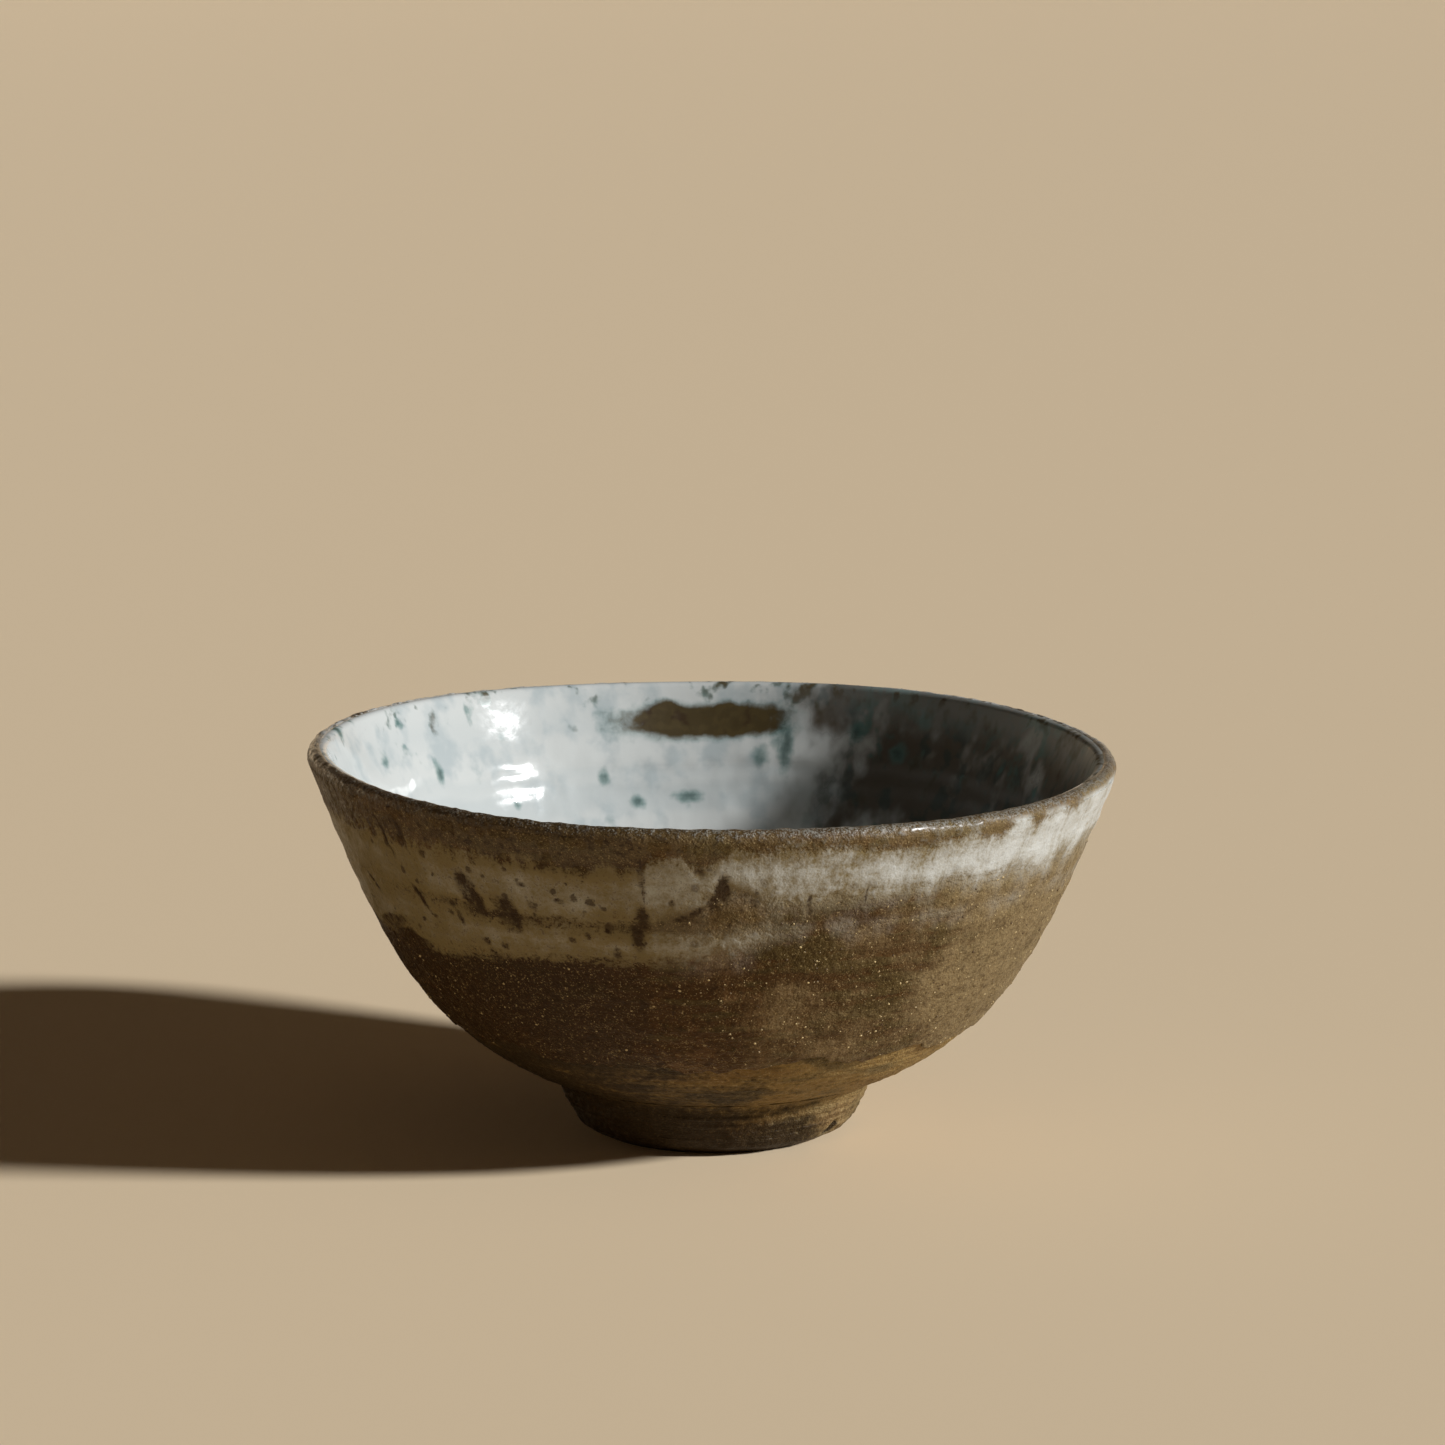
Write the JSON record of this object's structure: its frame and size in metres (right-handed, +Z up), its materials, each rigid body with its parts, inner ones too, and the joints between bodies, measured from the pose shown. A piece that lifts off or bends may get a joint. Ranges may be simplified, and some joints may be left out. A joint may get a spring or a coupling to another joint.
{
  "type": "matcha bowl",
  "caption": "Wide round stoneware tea bowl on a foot ring, lined with white glaze and dipped in white over brown outside, for whisking and drinking matcha.",
  "frame": {"origin": "middle of the foot ring's standing face, on the table", "axes": "+Z up along the bowl's axis, -Y towards the viewer of the picture, +X to the viewer's right"},
  "size_m": [0.128, 0.128, 0.061],
  "materials": {
    "stoneware_clay": "bare turned stoneware, matte",
    "foot_clay": "bare turned stoneware, matte, worn dark at the base",
    "inside_white": "milky white glaze with green and dark pinholes, glossy",
    "lip_brown": "thin brown glaze with sand showing through, semi-gloss",
    "outside_white": "uneven white glaze that breaks to brown, semi-gloss",
    "outside_brown": "thin brown glaze with pale specks, semi-matte"
  },
  "bodies": {
    "root": {"clay_bowl": "stoneware_clay", "foot_ring": "foot_clay", "inside_white_glaze": "inside_white", "lip_glaze": "lip_brown", "outside_white_glaze": "outside_white", "outside_brown_glaze": "outside_brown"}
  },
  "joints": []
}
